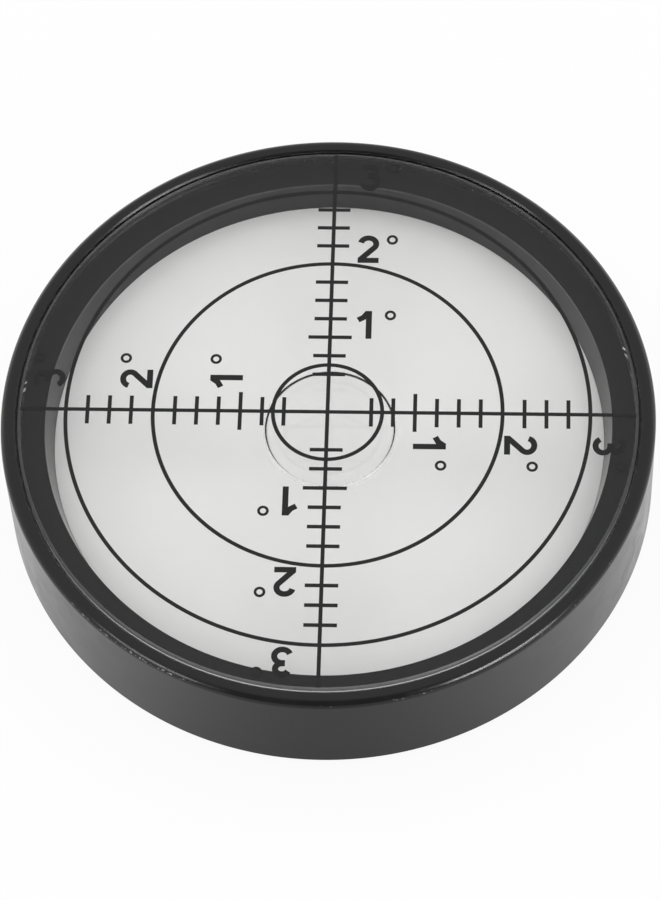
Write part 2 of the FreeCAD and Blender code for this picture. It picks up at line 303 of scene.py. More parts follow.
def side_vectors(path: np.ndarray, closed: bool, sharpest: float = 0.5) -> np.ndarray:
    """Return the unit step to the left of a path at each of its points.

    It is taken across the bisector at each bend and lengthened by
    1 / cos(half the bend), so that a line set off by it keeps its distance.

    Args:
        path: points (x, y).
        closed: True where the path's end joins its start.
        sharpest: least cosine of half a bend that is followed in full.

    Returns:
        Steps (x, y), one for each point.
    """
    if closed:
        into, out = path - np.roll(path, 1, 0), np.roll(path, -1, 0) - path
    else:
        step = np.diff(path, axis=0)
        into = np.concatenate([step[:1], step])
        out = np.concatenate([step, step[-1:]])
    into = into / np.linalg.norm(into, axis=1, keepdims=True)
    out = out / np.linalg.norm(out, axis=1, keepdims=True)
    along = into + out
    along /= np.linalg.norm(along, axis=1, keepdims=True)
    stretch = 1 / np.maximum(np.sum(along * into, axis=1, keepdims=True), sharpest)
    return np.stack([-along[:, 1], along[:, 0]], axis=1) * stretch


def add_ribbon(shell: Shell, path: np.ndarray, width: float, low: float, high: float,
               closed: bool = False) -> None:
    """Add a flat bar of constant width along a path in the XY plane.

    The two long sides are path + n * width / 2 and path - n * width / 2,
    where n is the step to the left of the path. The bar is low to high in Z
    and closed at its ends.

    Args:
        shell: where the bar goes.
        path: points (x, y) in millimetres.
        width: across the bar.
        low: height of its underside.
        high: height of its top.
        closed: True where the path's end joins its start.
    """
    normal = side_vectors(path, closed) * width / 2
    left, right = path + normal, path - normal
    edges = [np.column_stack([side, np.full(len(path), z)])
             for side, z in ((left, low), (left, high), (right, high), (right, low))]
    around = len(edges)
    # Turned over, because the edges run the other way round than a lathe's rows
    faces = [grid_faces(len(path), around, wrap_rows=closed)[:, [0, 3, 2, 1]]]
    if not closed:
        start = np.arange(around)
        faces.append(np.stack([start, start[::-1] + (len(path) - 1) * around]))
    shell.add(np.stack(edges, axis=1), faces)


# ---------------------------------------------------------------- finishes


def linear(hex_colour: str) -> tuple[float, float, float, float]:
    """Turn an sRGB hex colour into the linear colour that shaders take.

    A value c from 0 to 1 becomes c / 12.92 up to 0.04045, and above it
    ((c + 0.055) / 1.055) to the power of 2.4.

    Args:
        hex_colour: such as "#0b0b0c".

    Returns:
        Linear red, green and blue, and 1 for alpha.
    """
    parts = [int(hex_colour[i:i + 2], 16) / 255 for i in (1, 3, 5)]
    curve = [p / 12.92 if p <= 0.04045 else ((p + 0.055) / 1.055) ** 2.4 for p in parts]
    return (curve[0], curve[1], curve[2], 1.0)


def add_node(tree: bpy.types.NodeTree, kind: str,
             settings: Mapping[str, object] | None = None,
             inputs: Mapping[object, object] | None = None) -> bpy.types.Node:
    """Add a node, set its properties and fill or link its inputs.

    Args:
        tree: the node tree.
        kind: the node's type name.
        settings: properties by name.
        inputs: values or output sockets, by input name or number.

    Returns:
        The new node.
    """
    node = tree.nodes.new(kind)
    for name, value in (settings or {}).items():
        setattr(node, name, value)
    for key, value in (inputs or {}).items():
        if isinstance(value, bpy.types.NodeSocket):
            tree.links.new(value, node.inputs[key])
        else:
            node.inputs[key].default_value = value
    return node


def empty_material(
        name: str) -> tuple[bpy.types.Material, bpy.types.NodeTree, bpy.types.Node]:
    """Make a material whose tree has only its output.

    Args:
        name: of the material.

    Returns:
        The material, its tree and its output node.
    """
    material = bpy.data.materials.new(name)
    material.use_nodes = True
    tree = material.node_tree
    tree.nodes.clear()
    return material, tree, tree.nodes.new("ShaderNodeOutputMaterial")


def object_millimetres(tree: bpy.types.NodeTree) -> bpy.types.NodeSocket:
    """Add the place on the piece, counted in millimetres.

    Args:
        tree: the material's node tree.

    Returns:
        The socket with Object coordinates divided by a millimetre.
    """
    place = add_node(tree, "ShaderNodeTexCoord")
    scale = {"Vector": place.outputs["Object"], "Scale": (1 / MM, 1 / MM, 1 / MM)}
    return add_node(tree, "ShaderNodeMapping", inputs=scale).outputs["Vector"]


# Noise rarely leaves this span, so it is what runs from the low to the high value
NOISE_SPAN: dict[str, float] = {"From Min": 0.3, "From Max": 0.7}


def add_skin(tree: bpy.types.NodeTree, gloss: bpy.types.Node, relief: bpy.types.Node,
             roughness: tuple[float, float], height: float,
             strength: float = 0.4) -> dict[str, bpy.types.NodeSocket]:
    """Let one noise vary a surface's roughness and another raise its relief.

    Args:
        tree: the material's node tree.
        gloss: the noise that makes the surface glossier and duller.
        relief: the noise that raises it.
        roughness: where the first noise is low, and where it is high.
        height: of the relief, in millimetres.
        strength: how much of the relief shades.

    Returns:
        The shader's "Roughness" and "Normal".
    """
    rough = add_node(tree, "ShaderNodeMapRange", inputs={
        "Value": gloss.outputs["Fac"], **NOISE_SPAN,
        "To Min": roughness[0], "To Max": roughness[1]})
    bump = add_node(tree, "ShaderNodeBump", inputs={
        "Height": relief.outputs["Fac"], "Strength": strength, "Distance": height * MM})
    return {"Roughness": rough.outputs[0], "Normal": bump.outputs[0]}


@dataclass(frozen=True)
class AnodisedAluminium:
    """Turned aluminium bar, dyed black in the anodising bath and sealed.

    The oxide is a clear dark skin over the metal, so it reflects like a dark
    glaze: near black where it is looked at squarely and pale at a glancing
    angle. The turning tool leaves fine rings, handling leaves dull smears, and
    the rim wears through to bare metal in a few small nicks.
    """

    name: str = "black_anodised_aluminium"
    dye: str = "#0b0b0c"
    faded_dye: str = "#131314"
    bare_metal: str = "#a8a9ab"
    ior: float = 1.5
    roughness: tuple[float, float] = (0.16, 0.26)
    # A finishing cut moves 0.05 mm a turn, half a pixel, so its rings are drawn coarser
    feed: float = 0.16
    ring_depth: float = 0.003
    # Rings counted up the wall for each one counted across, so that both ways show them
    rings_up: float = 1.13
    smear_size: float = 3.0
    # Real nicks are 0.05 to 0.2 mm wide, and they too are drawn a little coarser
    nick_size: float = 0.35
    nick_span: tuple[float, float] = (0.57, 0.66)
    nick_spacing: float = 5.0
    patch_span: tuple[float, float] = (0.50, 0.62)
    # Nicks are bare within the first distance of a worn edge, and end at the second
    worn_through: float = 0.03
    wear_reach: float = 0.16

    def build(self, worn_edges: Sequence[tuple[float, float]] = ()) -> bpy.types.Material:
        """Build the material.

        Args:
            worn_edges: (radius, height) of the edges that wear, in millimetres.

        Returns:
            The material.
        """
        material, tree, output = empty_material(self.name)
        place = object_millimetres(tree)
        split = add_node(tree, "ShaderNodeSeparateXYZ", inputs={0: place})
        flat = add_node(tree, "ShaderNodeVectorMath", {"operation": "MULTIPLY"},
                        {0: place, 1: (1, 1, 0)})
        radius = add_node(tree, "ShaderNodeVectorMath", {"operation": "LENGTH"},
                          {0: flat.outputs[0]})
        path = add_node(tree, "ShaderNodeMath", {"operation": "MULTIPLY_ADD"},
                        {0: split.outputs["Z"], 1: self.rings_up,
                         2: radius.outputs["Value"]})
        rings = add_node(tree, "ShaderNodeTexNoise", {"noise_dimensions": "1D"},
                         {"W": path.outputs[0], "Scale": 1 / self.feed, "Detail": 2.0,
                          "Roughness": 0.6})
        smears = add_node(tree, "ShaderNodeTexNoise", inputs={
            "Vector": place, "Scale": 1 / self.smear_size, "Detail": 4.0, "Roughness": 0.6,
            "Distortion": 0.8})
        dye = add_node(tree, "ShaderNodeMix", {"data_type": "RGBA"},
                       {"Factor": smears.outputs["Fac"], 6: linear(self.dye),
                        7: linear(self.faded_dye)})
        skin = add_skin(tree, smears, rings, self.roughness, self.ring_depth, strength=0.5)
        shader = add_node(tree, "ShaderNodeBsdfPrincipled", inputs={
            "Base Color": dye.outputs[2], "IOR": self.ior, **skin})
        if worn_edges:
            section = add_node(tree, "ShaderNodeCombineXYZ", inputs={
                "X": radius.outputs["Value"], "Y": split.outputs["Z"]})
            wear = self.nicks(tree, place, section.outputs[0], worn_edges)
            colour = add_node(tree, "ShaderNodeMix", {"data_type": "RGBA"},
                              {"Factor": wear, 6: dye.outputs[2],
                               7: linear(self.bare_metal)})
            tree.links.new(colour.outputs[2], shader.inputs["Base Color"])
            tree.links.new(wear, shader.inputs["Metallic"])
        tree.links.new(shader.outputs[0], output.inputs["Surface"])
        return material

    def nicks(self, tree: bpy.types.NodeTree, place: bpy.types.NodeSocket,
              section: bpy.types.NodeSocket,
              worn_edges: Sequence[tuple[float, float]]) -> bpy.types.NodeSocket:
        """Mask the small nicks, which gather in patches along the worn edges.

        It is the product of three: near an edge, in a patch and in a chip.

        Args:
            tree: the material's node tree.
            place: the place on the piece in millimetres.
            section: the same place as (radius, height, 0).
            worn_edges: (radius, height) of the edges that wear.

        Returns:
            The mask: 1 where bare metal shows.
        """
        near = None
        for across, up in worn_edges:
            away = add_node(tree, "ShaderNodeVectorMath", {"operation": "DISTANCE"},
                            {0: section, 1: (across, up, 0)}).outputs["Value"]
            near = away if near is None else add_node(
                tree, "ShaderNodeMath", {"operation": "MINIMUM"},
                {0: near, 1: away}).outputs[0]
        close = add_node(tree, "ShaderNodeMapRange", {"interpolation_type": "SMOOTHSTEP"},
                         {"Value": near, "From Min": self.worn_through,
                          "From Max": self.wear_reach, "To Min": 1.0, "To Max": 0.0})
        patches = add_node(tree, "ShaderNodeTexNoise", inputs={
            "Vector": place, "Scale": 1 / self.nick_spacing, "Detail": 1.0})
        here = add_node(tree, "ShaderNodeMapRange", inputs={
            "Value": patches.outputs["Fac"],
            "From Min": self.patch_span[0], "From Max": self.patch_span[1]})
        chips = add_node(tree, "ShaderNodeTexNoise", inputs={
            "Vector": place, "Scale": 1 / self.nick_size, "Detail": 3.0, "Roughness": 0.7})
        torn = add_node(tree, "ShaderNodeMapRange", inputs={
            "Value": chips.outputs["Fac"],
            "From Min": self.nick_span[0], "From Max": self.nick_span[1]})
        both = add_node(tree, "ShaderNodeMath", {"operation": "MULTIPLY"},
                        {0: here.outputs[0], 1: torn.outputs[0]})
        return add_node(tree, "ShaderNodeMath", {"operation": "MULTIPLY"},
                        {0: both.outputs[0], 1: close.outputs[0]}).outputs[0]


@dataclass(frozen=True)
class ClearLiquidOrGlass:
    """One boundary of a clear body: optically polished glass, or still spirit.

    It has no texture. The eye sees it only by the light that it bends and by
    what it mirrors, and the IOR is the body's own over that of what it touches.
    Rays that carry light to and from matt surfaces pass straight through, so
    the white disc under the glass is lit as brightly as it is in life.
    """

    name: str
    ior: float
    tint: str = "#ffffff"

    def build(self) -> bpy.types.Material:
        """Build the material.

        Returns:
            The material.
        """
        material, tree, output = empty_material(self.name)
        shader = add_node(tree, "ShaderNodeBsdfPrincipled", inputs={
            "Base Color": linear(self.tint), "Roughness": 0.0, "IOR": self.ior,
            "Transmission Weight": 1.0})
        clear = add_node(tree, "ShaderNodeBsdfTransparent", inputs={
            "Color": linear(self.tint)})
        path = add_node(tree, "ShaderNodeLightPath")
        lets_by = add_node(tree, "ShaderNodeMath", {"operation": "MAXIMUM"},
                           {0: path.outputs["Is Shadow Ray"],
                            1: path.outputs["Is Diffuse Ray"]})
        mix = add_node(tree, "ShaderNodeMixShader", inputs={
            0: lets_by.outputs[0], 1: shader.outputs[0], 2: clear.outputs[0]})
        tree.links.new(mix.outputs[0], output.inputs["Surface"])
        return material


@dataclass(frozen=True)
class GroundGlass:
    """The lens's ground bevel: glass left matt by the wheel.

    Its frosted skin scatters a little of the light that falls on it, so the
    bevel reads as a thin pale ring between the clear glass and the black rim.
    """

    name: str = "ground_glass_bevel"
    colour: str = "#f7f7f7"
    ior: float = GLASS_IOR
    roughness: tuple[float, float] = (0.36, 0.54)
    frost: float = 0.07
    # A fine wheel's grit is 0.03 mm, too fine to show, so its pits are drawn coarser
    grit: float = 0.08
    pit_depth: float = 0.004

    def build(self) -> bpy.types.Material:
        """Build the material.

        Returns:
            The material.
        """
        material, tree, output = empty_material(self.name)
        place = object_millimetres(tree)
        grind = add_node(tree, "ShaderNodeTexNoise", inputs={
            "Vector": place, "Scale": 1 / self.grit, "Detail": 2.0})
        skin = add_skin(tree, grind, grind, self.roughness, self.pit_depth)
        shader = add_node(tree, "ShaderNodeBsdfPrincipled", inputs={
            "Base Color": linear(self.colour), "IOR": self.ior,
            "Transmission Weight": 1 - self.frost, **skin})
        tree.links.new(shader.outputs[0], output.inputs["Surface"])
        return material


@dataclass(frozen=True)
class MouldedPlastic:
    """Moulded, cast or printed matter: plastic, rubber, resin or ink.

    Two close tones drift through each other, so a flat face doesn't look
    painted, and a faint grain in the skin breaks up its gloss. A real skin is
    finer than a pixel, which is 0.1 mm wide, so the grain is drawn coarser.
    """

    name: str
    colour: str
    second_colour: str
    roughness: tuple[float, float]
    ior: float
    cloud_size: float
    grain_size: float
    grain_depth: float
    gloss: float = 0.5

    def build(self) -> bpy.types.Material:
        """Build the material.

        Returns:
            The material.
        """
        material, tree, output = empty_material(self.name)
        place = object_millimetres(tree)
        cloud = add_node(tree, "ShaderNodeTexNoise", inputs={
            "Vector": place, "Scale": 1 / self.cloud_size, "Detail": 3.0})
        grain = add_node(tree, "ShaderNodeTexNoise", inputs={
            "Vector": place, "Scale": 1 / self.grain_size, "Detail": 2.0})
        colour = add_node(tree, "ShaderNodeMix", {"data_type": "RGBA"},
                          {"Factor": cloud.outputs["Fac"], 6: linear(self.colour),
                           7: linear(self.second_colour)})
        skin = add_skin(tree, grain, grain, self.roughness, self.grain_depth)
        shader = add_node(tree, "ShaderNodeBsdfPrincipled", inputs={
            "Base Color": colour.outputs[2], "IOR": self.ior,
            "Specular IOR Level": self.gloss, **skin})
        tree.links.new(shader.outputs[0], output.inputs["Surface"])
        return material


@dataclass(frozen=True)
class PlatedSteel:
    """Turned steel, bright zinc plated.

    The plating gives it a soft, slightly cloudy gloss, and the lathe's rings
    show through as fine circles round its axis.
    """

    name: str = "zinc_plated_steel"
    colour: str = "#b9bcc0"
    stain: str = "#9c9fa4"
    roughness: tuple[float, float] = (0.23, 0.36)
    feed: float = 0.10
    ring_depth: float = 0.004
    stain_size: float = 0.8333

    def build(self, axis: tuple[float, float]) -> bpy.types.Material:
        """Build the material.

        Args:
            axis: (x, y) of the screw's axis in millimetres.

        Returns:
            The material.
        """
        material, tree, output = empty_material(self.name)
        place = object_millimetres(tree)
        centred = add_node(tree, "ShaderNodeMapping", inputs={
            "Vector": place, "Location": (-axis[0], -axis[1], 0)})
        flat = add_node(tree, "ShaderNodeVectorMath", {"operation": "MULTIPLY"},
                        {0: centred.outputs[0], 1: (1, 1, 0)})
        radius = add_node(tree, "ShaderNodeVectorMath", {"operation": "LENGTH"},
                          {0: flat.outputs[0]})
        rings = add_node(tree, "ShaderNodeTexNoise", {"noise_dimensions": "1D"},
                         {"W": radius.outputs["Value"], "Scale": 1 / self.feed,
                          "Detail": 2.0})
        cloud = add_node(tree, "ShaderNodeTexNoise", inputs={
            "Vector": place, "Scale": 1 / self.stain_size, "Detail": 4.0})
        colour = add_node(tree, "ShaderNodeMix", {"data_type": "RGBA"},
                          {"Factor": cloud.outputs["Fac"], 6: linear(self.colour),
                           7: linear(self.stain)})
        skin = add_skin(tree, cloud, rings, self.roughness, self.ring_depth)
        shader = add_node(tree, "ShaderNodeBsdfPrincipled", inputs={
            "Base Color": colour.outputs[2], "Metallic": 1.0, **skin})
        tree.links.new(shader.outputs[0], output.inputs["Surface"])
        return material


# ------------------------------------------------------------------ pieces


@dataclass(frozen=True)
class Stack:
    """Radii, heights and the screw's place, which the pieces share.

    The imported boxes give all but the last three: the hole for the screw, and
    the disc's notch over it, which is hidden by the near wall at this depth.
    """

    body: float
    body_top: float
    recess: float
    ledge: float
    bore: float
    floor: float
    lens: float
    lens_seat: float
    lens_top: float
    bond_top: float
    disc: float
    disc_top: float
    print_low: float
    print_high: float
    dial_reach: float
    screw_y: float
    screw_head: float
    screw_low: float
    screw_high: float
    washer: float
    washer_low: float
    washer_high: float
    screw_hole: float = 1.5
    notch_width: float = 2.0
    notch_depth: float = 0.75

    @property
    def foot(self) -> float:
        """Radius at the floor of the straight wall through ledge and disc edge."""
        slope = (self.bore - self.disc) / (self.ledge - self.disc_top)
        return self.bore - slope * (self.ledge - self.floor)

    @classmethod
    def from_frame(cls) -> Stack:
        """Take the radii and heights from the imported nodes' boxes.

        Returns:
            The shared radii and heights.
        """
        x, y, z = range(3)
        low: dict[str, list[float]] = {}
        high: dict[str, list[float]] = {}
        half: dict[str, list[float]] = {}
        for node in ("housing", "lens", "lens_gasket", "lens_bond", "spirit",
                     "backing_disc", "dial_print", "fill_screw", "fill_washer"):
            corners = [np.array(corner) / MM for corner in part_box(node)]
            low[node], high[node] = [corner.tolist() for corner in corners]
            half[node] = ((corners[1] - corners[0]) / 2).tolist()
        return cls(
            body=half["housing"][x],
            body_top=high["housing"][z],
            recess=half["lens_gasket"][x],
            ledge=low["lens_gasket"][z],
            bore=half["spirit"][x],
            floor=low["spirit"][z],
            lens=half["lens"][x],
            lens_seat=low["lens"][z],
            lens_top=high["lens"][z],
            bond_top=high["lens_bond"][z],
            disc=half["backing_disc"][x],
            disc_top=high["backing_disc"][z],
            print_low=low["dial_print"][z],
            print_high=high["dial_print"][z],
            dial_reach=half["dial_print"][x],
            screw_y=(high["fill_screw"][y] + low["fill_screw"][y]) / 2,
            screw_head=half["fill_screw"][x],
            screw_low=low["fill_screw"][z],
            screw_high=high["fill_screw"][z],
            washer=half["fill_washer"][x],
            washer_low=low["fill_washer"][z],
            washer_high=high["fill_washer"][z],
        )


def finish_piece(piece: bpy.types.Object, materials: Sequence[bpy.types.Material],
                 node: str) -> bpy.types.Object:
    """Dress a piece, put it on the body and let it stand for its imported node.

    Args:
        piece: the new object.
        materials: its materials, by finish number.
        node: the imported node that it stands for.

    Returns:
        The same object.
    """
    for material in materials:
        piece.data.materials.append(material)
    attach(piece, "root")
    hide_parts(node)
    log.info("%s: %d faces", piece.name, len(piece.data.polygons))
    return piece


@dataclass
class Housing:
    """The turned cup with its stepped filling hole."""

    stack: Stack
    rim_chamfer: float = 0.5
    base_chamfer: float = 1.0
    head_pocket: float = 3.1
    edge: float = 0.07
    rim_edge: float = 0.7
    broken_edge: float = 0.17
    sharp_edge: float = 0.04
    foot_edge: float = 0.05
    # Flats kept beside an edge round, before the straight lines across base and floor
    base_flat: float = 1.0
    floor_flat: float = 0.1
    hole_flat: float = 0.09
    pocket_flat: float = 0.4
    # The wet finish starts with the first row that is less than this past the bore
    bore_margin: float = 0.01
    # From the lower corner of the rim's chamfer in and up to where its round wears
    worn_ridge: tuple[float, float] = (0.08, 0.04)
    finish: AnodisedAluminium = AnodisedAluminium()
    # Spirit fills the rings and weakens the mirror, so the bore is an evener black
    wet_finish: AnodisedAluminium = AnodisedAluminium(
        name="black_anodised_bore_in_spirit", ior=1.27, roughness=(0.08, 0.13),
        ring_depth=0.001)

    def outside(self) -> np.ndarray:
        """Work out the profile from the base's edge over the rim to the floor.

        Returns:
            Points (radius, height).
        """
        s = self.stack
        top = s.body_top
        return rounded_profile([
            Corner(s.body - self.base_chamfer - self.base_flat, 0.0),
            Corner(s.body - self.base_chamfer, 0.0, self.edge),
            Corner(s.body, self.base_chamfer, self.edge),
            Corner(s.body, top - self.rim_chamfer, self.rim_edge),
            Corner(s.body - self.rim_chamfer, top, self.rim_edge),
            Corner(s.recess + self.broken_edge, top, self.sharp_edge),
            Corner(s.recess, top - self.broken_edge, self.sharp_edge),
            Corner(s.recess, s.ledge, self.sharp_edge),
            Corner(s.bore, s.ledge, self.sharp_edge),
            Corner(s.foot, s.floor, self.foot_edge),
            Corner(s.foot - self.floor_flat, s.floor),
        ])

    def hole(self) -> np.ndarray:
        """Work out the stepped hole's profile from the floor down to the base.

        Returns:
            Points (distance from the hole's axis, height).
        """
        s = self.stack
        return rounded_profile([
            Corner(s.screw_hole + self.hole_flat, s.floor),
            Corner(s.screw_hole, s.floor, self.sharp_edge),
            Corner(s.screw_hole, s.washer_high, self.sharp_edge),
            Corner(self.head_pocket, s.washer_high, self.sharp_edge),
            Corner(self.head_pocket, 0.0, self.edge),
            Corner(self.head_pocket + self.pocket_flat, 0.0),
        ])

    def build(self) -> bpy.types.Object:
        """Build the cup as one surface that closes through the hole.

        The outer rows are circles round the body's axis. The hole's rows are
        circles round the hole's own axis, whose point j lies on the straight
        line from that axis to point j of the outer circle, so the base and
        the floor are flat fans of straight lines from hole to outer edge.

        Returns:
            The finished piece.
        """
        s = self.stack
        profile = self.outside()
        outer = lathe_rows(profile)
        centre = np.array([0.0, s.screw_y])
        away = outer[0, :, :2] - centre
        away /= np.linalg.norm(away, axis=1, keepdims=True)
        hole = self.hole()
        across = centre + hole[:, 0][:, None, None] * away
        height = np.broadcast_to(hole[:, 1][:, None, None], across.shape[:2] + (1,))
        rows = np.concatenate([outer, np.concatenate([across, height], axis=-1)])
        faces = grid_faces(len(rows), SEGMENTS, wrap_rows=True)
        first_wet = int(np.argmax(profile[:, 0] < s.bore + self.bore_margin)) * SEGMENTS
        shell = Shell()
        shell.add(rows, [faces[:first_wet], faces[first_wet:]], [0, 1])
        inward, upward = self.worn_ridge
        worn = (s.body - inward, s.body_top - self.rim_chamfer + upward)
        materials = [self.finish.build([worn]), self.wet_finish.build()]
        return finish_piece(shell.piece("turned_body"), materials, "housing")


@dataclass
class Lens:
    """The plano-concave glass, with the spirit and the bubble under it."""

    stack: Stack
    curve_radius: float = 458.3
    bevel: float = 0.25
    edge: float = 0.05
    # Spirit stays this far under the glass, and reaches this far into disc and wall
    skin: float = 0.01
    sunk: float = 0.03
    # Far less than any edge round: keeps two rows apart, in millimetres or radians
    hair: float = 0.003
    # Keeps the outer part's first row off the bore's edge, and finds the upper bevel
    margin: float = 0.02
    # From the edge in to the first circle on the lens's top and on the spirit's foot
    top_flat: float = 3.0
    low_flat: float = 1.0
    # Circles across a wide part of the surfaces, and across a small one
    circles: int = 24
    few_circles: int = 6
    # The bubble is widest between its upper part, which narrows to the contact
    # circle on the glass, and its lower part, which curves in to a flat middle
    bubble_middle: tuple[float, float] = (0.2, -0.6)
    bubble_radius: float = 6.2
    bubble_contact: float = 5.15
    bubble_upper: float = 1.07
    bubble_lower: float = 2.1
    bubble_lower_width: float = 1.85
    # Circles of the underside this wide and wider have their middle on the axis
    settled: float = 14.0

    def hollow(self, radius: np.ndarray | float) -> np.ndarray:
        """Work out how high the underside is.

        h(r) = seat + sqrt(R^2 - r^2) - sqrt(R^2 - b^2), where R is the radius
        of its curve and b that of the bore. Past the bore it is flat.

        Args:
            radius: r, from the axis.

        Returns:
            The height h for each r.
        """
        square = self.curve_radius ** 2
        fall = np.sqrt(square - np.minimum(radius, self.stack.bore) ** 2)
        return self.stack.lens_seat + fall - math.sqrt(square - self.stack.bore ** 2)

    def middles(self, radius: np.ndarray) -> np.ndarray:
        """Work out the middle of each circle of the underside.

        The bubble stands a little off centre, so circles up to its contact
        line have its middle. Further out the middle goes back to the axis as
        1 - t^2 (3 - 2 t), with t running from 0 at the contact line to 1 at
        the settled radius.

        Args:
            radius: of each circle.

        Returns:
            Middles (x, y).
        """
        t = (radius - self.bubble_contact) / (self.settled - self.bubble_contact)
        t = np.clip(t, 0, 1)
        return (1 - t * t * (3 - 2 * t))[:, None] * np.array(self.bubble_middle)

    def under_rows(self, radius: np.ndarray) -> np.ndarray:
        """Lay circles on the underside, each point at the height of the hollow.

        Args:
            radius: of each circle.

        Returns:
            Points of shape (circles, segments, 3).
        """
        flat = np.column_stack([radius, 0 * radius])
        rows = lathe_rows(flat, middles=self.middles(radius))
        rows[:, :, 2] = self.hollow(np.hypot(rows[:, :, 0], rows[:, :, 1]))
        return rows

    def build_glass(self) -> bpy.types.Object:
        """Build the glass: against air above, against spirit and bubble below.

        Returns:
            The finished piece.
        """
        s = self.stack
        above = rounded_profile([
            Corner(s.bore + self.margin, s.lens_seat),
            Corner(s.lens - self.bevel, s.lens_seat, self.edge),
            Corner(s.lens, s.lens_seat + self.bevel, self.edge),
            Corner(s.lens, s.lens_top - self.bevel, self.edge),
            Corner(s.lens - self.bevel, s.lens_top, self.edge),
            Corner(s.lens - self.top_flat, s.lens_top),
        ])
        inner = np.concatenate([
            np.linspace(0, self.bubble_contact, self.few_circles)[1:],
            np.linspace(self.bubble_contact, s.bore, self.circles)[1:]])
        rows = np.concatenate([self.under_rows(inner), lathe_rows(above)])
        off_axis = math.hypot(*self.bubble_middle)
        ends = np.array([[*self.bubble_middle, float(self.hollow(off_axis))],
                         [0.0, 0.0, s.lens_top]])
        seat = np.full(len(inner) + 1, s.lens_seat)
        across = np.concatenate([[0.0], inner, above[:, 0], [0.0]])
        up = np.concatenate([seat, above[:, 1], [s.lens_top]])
        middle, height = (across[:-1] + across[1:]) / 2, (up[:-1] + up[1:]) / 2
        inset = self.bevel + self.margin
        bevelled = (middle > s.lens - inset) & (height > s.lens_top - inset)
        underneath = np.where(middle < self.bubble_contact, 2, 1)
        finishes = np.where(np.arange(len(middle)) < len(seat), underneath, 0)
        finishes = np.where(bevelled, 3, finishes)
        shell = Shell()
        add_rows(shell, rows, ends, finishes)
        materials = [
            ClearLiquidOrGlass("polished_glass", GLASS_IOR).build(),
            ClearLiquidOrGlass("glass_against_spirit", GLASS_IOR / SPIRIT_IOR).build(),
            ClearLiquidOrGlass("glass_over_bubble", GLASS_IOR).build(),
            GroundGlass().build(),
        ]
        return finish_piece(shell.piece("glass_lens"), materials, "lens")

    def bubble_widest(self) -> float:
        """Height of the bubble's widest circle."""
        return float(self.hollow(self.bubble_contact)) - self.bubble_upper

    def bubble_rows(self) -> np.ndarray:
        """Lay circles on the bubble's wall, from just off its middle to the glass.

        The glass is a little lower on the side of the bubble that lies
        further out. Above the widest circle each point moves by that
        difference, in proportion to its height, and so ends at the glass.

        Returns:
            Points of shape (circles, segments, 3).
        """
        profile = self.bubble_profile()
        middles = np.tile(self.bubble_middle, (len(profile), 1))
        rows = lathe_rows(profile, middles=middles)
        share = np.clip((profile[:, 1] - self.bubble_widest()) / self.bubble_upper, 0, 1)
        lean = self.hollow(np.hypot(rows[:, :, 0], rows[:, :, 1]))
        rows[:, :, 2] += share[:, None] * (lean - self.hollow(self.bubble_contact))
        return rows

    def bubble_profile(self) -> np.ndarray:
        """Work out the bubble's wall, from just off its middle up to the glass.

        Below its widest place the wall is a quarter of an ellipse that comes
        down onto a flat middle. Above it is another, that ends a skin under
        the glass.

        Returns:
            Points (distance from the bubble's own axis, height).
        """
        widest = self.bubble_widest()
        flat = self.bubble_radius - self.bubble_lower_width
        turn = np.linspace(0, math.pi / 2, self.circles)
        rise = np.append(turn[1:-1], math.pi / 2 - self.hair)
        lower = np.column_stack([
            flat + self.bubble_lower_width * np.sin(turn),
            widest - self.bubble_lower * np.cos(turn)])
        overhang = self.bubble_radius - self.bubble_contact
        upper = np.column_stack([
            self.bubble_contact + overhang * np.cos(rise),
            widest + (self.bubble_upper - self.skin) * np.sin(rise)])
        across = np.linspace(0, flat, self.few_circles)[1:-1]
        middle = np.column_stack([across, np.full(len(across), lower[0, 1])])
        return np.concatenate([middle, lower, upper])

    def build_spirit(self) -> bpy.types.Object:
        """Build the spirit as a closed body with the bubble's dimple in its top.

        Only the dimple bends light. The other faces lie inside the disc and
        the housing, or a skin under the glass. The spirit in the disc's notch
        is a small block of its own.

        Returns:
            The finished piece.
        """
        s = self.stack
        low = s.disc_top - self.sunk
        side = np.array([[s.disc - self.low_flat, low], [s.disc + self.sunk, low],
                         [s.bore + self.sunk, s.ledge]])
        across = np.linspace(self.bubble_contact, s.bore + self.sunk, self.circles)
        top = self.under_rows(np.insert(across, 1, self.bubble_contact + self.hair))
        top[:, :, 2] -= self.skin
        dimple = self.bubble_rows()
        rows = np.concatenate([lathe_rows(side), top[::-1], dimple[::-1]])
        ends = np.array([[0.0, 0.0, low], [*self.bubble_middle, dimple[0, 0, 2]]])
        plain = len(side) + len(top)
        finishes = np.repeat([0, 1], [plain, len(rows) + 1 - plain])
        shell = Shell()
        add_rows(shell, rows, ends, finishes)
        half = s.notch_width / 2 + self.sunk
        back = s.notch_depth - s.foot + self.sunk
        block = np.meshgrid([-half, half], [-s.foot, back], [s.floor, low - self.skin],
                            indexing="ij")
        # Point 4 i + 2 j + k of the block is at step i of x, j of y and k of z
        shell.add(np.stack(block, axis=-1), [np.array([
            [0, 1, 3, 2], [4, 6, 7, 5], [0, 4, 5, 1],
            [2, 3, 7, 6], [0, 2, 6, 4], [1, 5, 7, 3]])])
        materials = [
            ClearLiquidOrGlass("spirit_against_solids", 1.0).build(),
            ClearLiquidOrGlass("spirit_round_bubble", SPIRIT_IOR).build(),
        ]
        piece = shell.piece("spirit_with_bubble")
        return finish_piece(piece, materials, "spirit")


